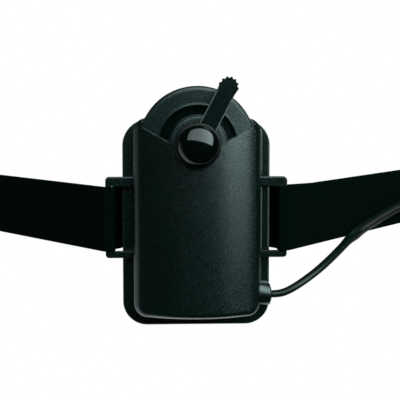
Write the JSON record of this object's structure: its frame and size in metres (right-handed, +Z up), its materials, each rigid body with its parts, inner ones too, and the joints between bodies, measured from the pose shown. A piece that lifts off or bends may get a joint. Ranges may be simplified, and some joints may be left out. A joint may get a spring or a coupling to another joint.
{
  "type": "body-worn lavalier microphone",
  "caption": "Body-worn microphone: crowned case with a swivelling microphone arm over an arched fan recess, on an elastic belt, with a twin lead coiled to a small jack plug.",
  "frame": {"origin": "middle of the rear face of the case, where it rests on the wearer", "axes": "+X to the right seen from the front, +Y from the front to the wearer, +Z up"},
  "size_m": [0.2659, 0.309, 0.1154],
  "materials": {
    "case_plastic": "fine spark-grain moulded texture, satin",
    "back_plastic": "fine moulded texture, matt",
    "frame_plastic": "smooth moulded, satin",
    "arm_plastic": "fine moulded texture, matt",
    "cap_gloss": "polished, high gloss",
    "steel": "turned and brushed",
    "bush_plastic": "natural acetal, smooth",
    "washer_metal": "pressed spring steel",
    "board_green": "solder-resist lacquer",
    "chip_black": "moulded package",
    "capacitor_can": "drawn can with a dark sleeve",
    "socket_plastic": "natural nylon",
    "webbing": "narrow woven elastic webbing, matt",
    "slider_plastic": "smooth moulded, satin",
    "band_fabric": "woven hook-and-loop tape",
    "lead_sheath": "soft smooth twin sheath",
    "inner_sheath": "thin insulated wire",
    "plug_rubber": "soft moulded sleeve",
    "plug_metal": "dark plated turned brass",
    "plug_gold": "gold plated, polished"
  },
  "bodies": {
    "unit": {"front_housing": "case_plastic", "back_cover": "back_plastic", "right_strap_frame": "frame_plastic", "left_strap_frame": "frame_plastic", "pivot_bush": "bush_plastic", "case_screws": "steel", "circuit_board": "board_green", "amplifier_chip": "chip_black", "capacitors": "capacitor_can", "lead_socket": "socket_plastic", "output_socket": "socket_plastic", "board_screws": "steel", "inner_lead": "inner_sheath", "cable_grommet": "plug_rubber", "cable_tail": "lead_sheath", "cable_clamp": "slider_plastic", "clamp_screws": "steel", "elastic_belt": "webbing", "belt_tail": "webbing", "belt_slider": "slider_plastic", "cable_keeper": "band_fabric", "coil_tie": "band_fabric", "cable": "lead_sheath", "cable_coil": "lead_sheath", "plug_sleeve": "plug_rubber", "plug_body": "plug_metal", "plug_collar": "plug_metal", "plug_pin": "plug_gold"},
    "arm": {"swivel_arm": "arm_plastic", "dome_cap": "cap_gloss", "pivot_shaft": "steel", "thrust_washer": "bush_plastic", "friction_washer": "washer_metal", "retaining_ring": "washer_metal", "guide_shoe": "bush_plastic", "mic_capsule": "steel", "capsule_lead": "inner_sheath"}
  },
  "joints": [
    {"name": "arm_swivel", "type": "hinge", "parent": "unit", "child": "arm", "pos_m": [0, -0.025, 0.031], "axis": [0, 1, 0], "range_deg": [-94, 39]}
  ]
}
